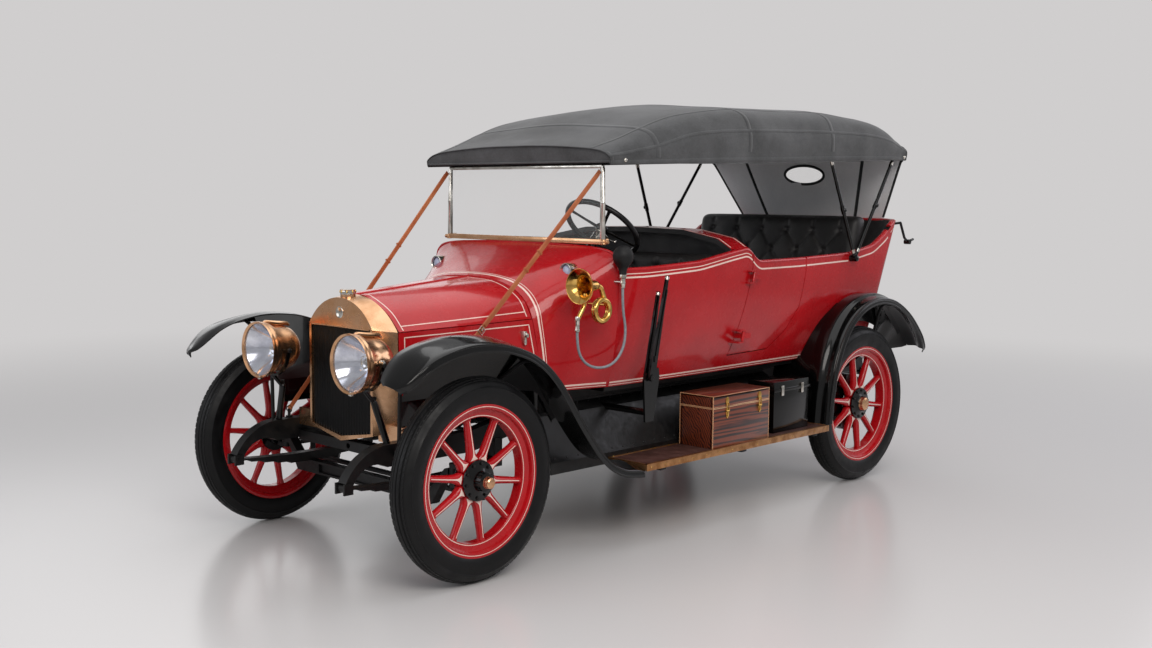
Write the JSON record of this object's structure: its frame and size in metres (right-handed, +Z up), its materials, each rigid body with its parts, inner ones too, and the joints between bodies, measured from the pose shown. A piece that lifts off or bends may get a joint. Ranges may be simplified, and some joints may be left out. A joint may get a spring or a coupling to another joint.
{
  "type": "open touring car",
  "caption": "Open touring car of the brass era with a folding hood, wooden spoked wheels, steerable front axle, hinged doors, bonnet leaves and a wooden tool box.",
  "frame": {"origin": "on the ground below the middle of the car", "axes": "+X forward along the length, +Y to the left across the width, +Z up"},
  "size_m": [3.943, 1.6, 1.9801],
  "materials": {
    "red_paint": "gloss coach paint",
    "black_paint": "gloss black enamel",
    "copper_brass": "polished copper-toned brass",
    "radiator_black": "blackened brass honeycomb",
    "brass": "polished brass",
    "black_leather": "buttoned black hide",
    "tan_leather": "tan strap leather",
    "wood": "varnished wood",
    "clear_glass": "clear glass",
    "hood_fabric": "black hood duck",
    "curtain_fabric": "grey curtain cloth",
    "rubber": "matt rubber",
    "tyre": "black treaded tyre"
  },
  "bodies": {
    "root": {"front_axle": "black_paint", "rear_axle": "black_paint", "leaf_springs": "black_paint", "side_rails": "black_paint", "cross_members": "black_paint", "engine_block": "black_paint", "driveline": "black_paint", "body_sides": "red_paint", "body_tail": "red_paint", "door_hinges": "black_paint", "scuttle": "red_paint", "dashboard": "wood", "floor": "wood", "front_seat_deck": "red_paint", "seat_cushions": "black_leather", "seat_backs": "black_leather", "bonnet_sides": "red_paint", "radiator_shell": "copper_brass", "radiator_core": "radiator_black", "front_fenders": "black_paint", "rear_fenders": "black_paint", "running_boards": "wood", "splash_aprons": "black_paint", "tool_box": "wood", "battery_box": "black_paint", "windscreen_frame": "brass", "windscreen_glass": "clear_glass", "hood_cloth": "hood_fabric", "hood_curtain": "curtain_fabric", "hood_bows": "wood", "hood_irons": "black_paint", "hood_straps": "tan_leather", "hood_rests": "black_paint", "headlamps": "copper_brass", "headlamp_glasses": "clear_glass", "lamp_stands": "black_paint", "side_lamps": "clear_glass", "horn": "brass", "horn_bulb": "rubber", "horn_hose": "rubber", "hand_levers": "black_paint", "steering_column": "black_paint"},
    "steering_wheel": {"steering_wheel": "black_paint"},
    "knuckle_left": {"knuckle_left": "black_paint"},
    "knuckle_right": {"knuckle_right": "black_paint"},
    "tie_rod": {"tie_rod": "black_paint"},
    "wheel_front_left": {"wheel_front_left": "red_paint", "tyre_front_left": "tyre"},
    "wheel_front_right": {"wheel_front_right": "red_paint", "tyre_front_right": "tyre"},
    "wheel_rear_left": {"wheel_rear_left": "red_paint", "tyre_rear_left": "tyre"},
    "wheel_rear_right": {"wheel_rear_right": "red_paint", "tyre_rear_right": "tyre"},
    "door_rear_left": {"door_rear_left": "red_paint"},
    "door_rear_right": {"door_rear_right": "red_paint"},
    "door_front_right": {"door_front_right": "red_paint"},
    "bonnet_leaf_left": {"bonnet_leaf_left": "red_paint"},
    "bonnet_leaf_right": {"bonnet_leaf_right": "red_paint"},
    "tool_box_lid": {"tool_box_lid": "wood"}
  },
  "joints": [
    {"name": "steer_left", "type": "hinge", "parent": "root", "child": "knuckle_left", "pos_m": [1.5215, 0.575, 0.41], "axis": [0, 0, 1], "range_deg": [-30, 30]},
    {"name": "steer_right", "type": "hinge", "parent": "root", "child": "knuckle_right", "pos_m": [1.5215, -0.575, 0.41], "axis": [0, 0, 1], "range_deg": [-30, 30]},
    {"name": "tie_rod_swing", "type": "hinge", "parent": "knuckle_left", "child": "tie_rod", "pos_m": [1.3715, 0.575, 0.3], "axis": [0, 0, 1], "range_deg": [-30, 30]},
    {"name": "steering_wheel_turn", "type": "hinge", "parent": "root", "child": "steering_wheel", "pos_m": [0.3365, 0.3, 1.362], "axis": [-0.6858, 0, 0.7278], "range_deg": [-240, 240]},
    {"name": "spin_front_left", "type": "hinge", "parent": "knuckle_left", "child": "wheel_front_left", "pos_m": [1.5215, 0.685, 0.41], "axis": [0, 1, 0], "continuous": true},
    {"name": "spin_front_right", "type": "hinge", "parent": "knuckle_right", "child": "wheel_front_right", "pos_m": [1.5215, -0.685, 0.41], "axis": [0, 1, 0], "continuous": true},
    {"name": "spin_rear_left", "type": "hinge", "parent": "root", "child": "wheel_rear_left", "pos_m": [-1.2635, 0.685, 0.41], "axis": [0, 1, 0], "continuous": true},
    {"name": "spin_rear_right", "type": "hinge", "parent": "root", "child": "wheel_rear_right", "pos_m": [-1.2635, -0.685, 0.41], "axis": [0, 1, 0], "continuous": true},
    {"name": "open_rear_left_door", "type": "hinge", "parent": "root", "child": "door_rear_left", "pos_m": [-0.2735, 0.666, 0.838], "axis": [0.2761, 0, -0.9611], "range_deg": [0, 65]},
    {"name": "open_rear_right_door", "type": "hinge", "parent": "root", "child": "door_rear_right", "pos_m": [-0.2735, -0.666, 0.838], "axis": [-0.2761, 0, 0.9611], "range_deg": [0, 65]},
    {"name": "open_front_right_door", "type": "hinge", "parent": "root", "child": "door_front_right", "pos_m": [0.5125, -0.63, 0.838], "axis": [0, 0, 1], "range_deg": [0, 65]},
    {"name": "lift_left_leaf", "type": "hinge", "parent": "root", "child": "bonnet_leaf_left", "pos_m": [0.9122, 0, 1.149], "axis": [0.9972, 0, -0.0748], "range_deg": [0, 80]},
    {"name": "lift_right_leaf", "type": "hinge", "parent": "root", "child": "bonnet_leaf_right", "pos_m": [0.9122, 0, 1.149], "axis": [-0.9972, 0, 0.0748], "range_deg": [0, 80]},
    {"name": "lift_tool_box_lid", "type": "hinge", "parent": "root", "child": "tool_box_lid", "pos_m": [-0.1085, 0.587, 0.542], "axis": [1, 0, 0], "range_deg": [0, 50]}
  ],
  "couplings": [
    {"joint": "steer_right", "follows": "steer_left", "ratio": 1},
    {"joint": "tie_rod_swing", "follows": "steer_left", "ratio": -1},
    {"joint": "steering_wheel_turn", "follows": "steer_left", "ratio": 8}
  ]
}
